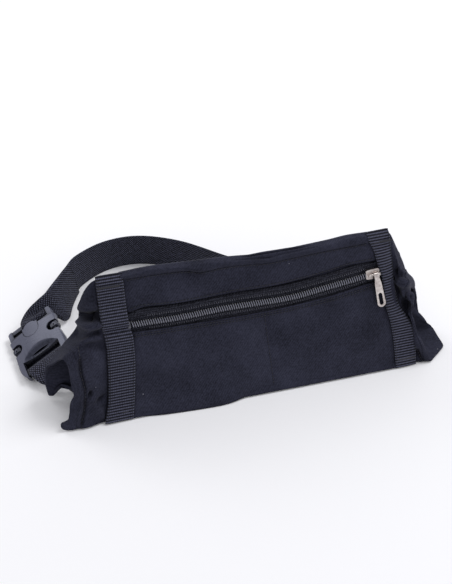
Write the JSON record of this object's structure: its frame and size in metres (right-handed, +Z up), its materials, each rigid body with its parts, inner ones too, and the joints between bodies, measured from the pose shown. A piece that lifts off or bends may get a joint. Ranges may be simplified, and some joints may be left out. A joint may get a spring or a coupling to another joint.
{
  "type": "waist pack",
  "caption": "Slim fabric waist pack: flat open-ended sleeve with a zipped front pocket, webbing end strips, and a webbing belt closed by a side-release buckle.",
  "frame": {"origin": "on the floor, under the middle of the whole pack's bounding box", "axes": "+X along the pack to the wearer's zip end, +Y from the zipped front to the belt behind, +Z up"},
  "size_m": [0.4106, 0.2166, 0.1328],
  "materials": {
    "fabric_black": "matte twill",
    "webbing_black": "ribbed webbing",
    "thread_black": "polyester thread",
    "zip_tape": "woven tape",
    "zip_coil": "glossy nylon coil",
    "nickel": "nickel plate, lightly worn",
    "buckle_plastic": "moulded acetal, satin"
  },
  "bodies": {
    "pack": {"sleeve_front": "fabric_black", "sleeve_back": "fabric_black", "mouth_hem_left_front": "fabric_black", "mouth_hem_right_front": "fabric_black", "mouth_hem_left_back": "fabric_black", "mouth_hem_right_back": "fabric_black", "top_hem": "fabric_black", "pocket_upper": "fabric_black", "pocket_lower": "fabric_black", "strip_left": "webbing_black", "strip_right": "webbing_black", "strip_bartacks": "thread_black", "zip_tape_upper": "zip_tape", "zip_tape_lower": "zip_tape", "zip_coil_upper": "zip_coil", "zip_coil_lower": "zip_coil", "zip_bottom_stop": "nickel", "belt_webbing": "webbing_black", "belt_tail": "webbing_black", "belt_end": "webbing_black", "short_strap": "webbing_black", "anchor_stitching": "thread_black", "buckle_female": "buckle_plastic"},
    "slider": {"slider_body": "nickel"},
    "pull": {"slider_pull": "nickel"},
    "male": {"buckle_male": "buckle_plastic", "belt_loop": "webbing_black"},
    "arm_left": {"buckle_arm_left": "buckle_plastic"},
    "arm_right": {"buckle_arm_right": "buckle_plastic"}
  },
  "joints": [
    {"name": "zipper", "type": "slide", "parent": "pack", "child": "slider", "axis": [0.9992, 0.0141, 0.0368], "range_m": [-0.219, 0]},
    {"name": "pull_swing", "type": "hinge", "parent": "slider", "child": "pull", "pos_m": [0.1326, -0.07523, 0.09603], "axis": [-0.9992, -0.0141, -0.0368], "range_deg": [0, 150]},
    {"name": "buckle_release", "type": "slide", "parent": "pack", "child": "male", "axis": [-0.1564, 0.9877, 0], "range_m": [0, 0.042], "deforming": ["belt_end", "buckle_arm_left", "buckle_arm_right"]},
    {"name": "press_left", "type": "hinge", "parent": "male", "child": "arm_left", "pos_m": [-0.19268, 0.00783, 0.0101], "axis": [-0.4788, -0.0758, 0.8746], "range_deg": [0, 12], "stiffness_Nm_per_rad": 0.05},
    {"name": "press_right", "type": "hinge", "parent": "male", "child": "arm_right", "pos_m": [-0.16762, 0.01179, 0.02416], "axis": [-0.4788, -0.0758, 0.8746], "range_deg": [-12, 0], "stiffness_Nm_per_rad": 0.05}
  ]
}
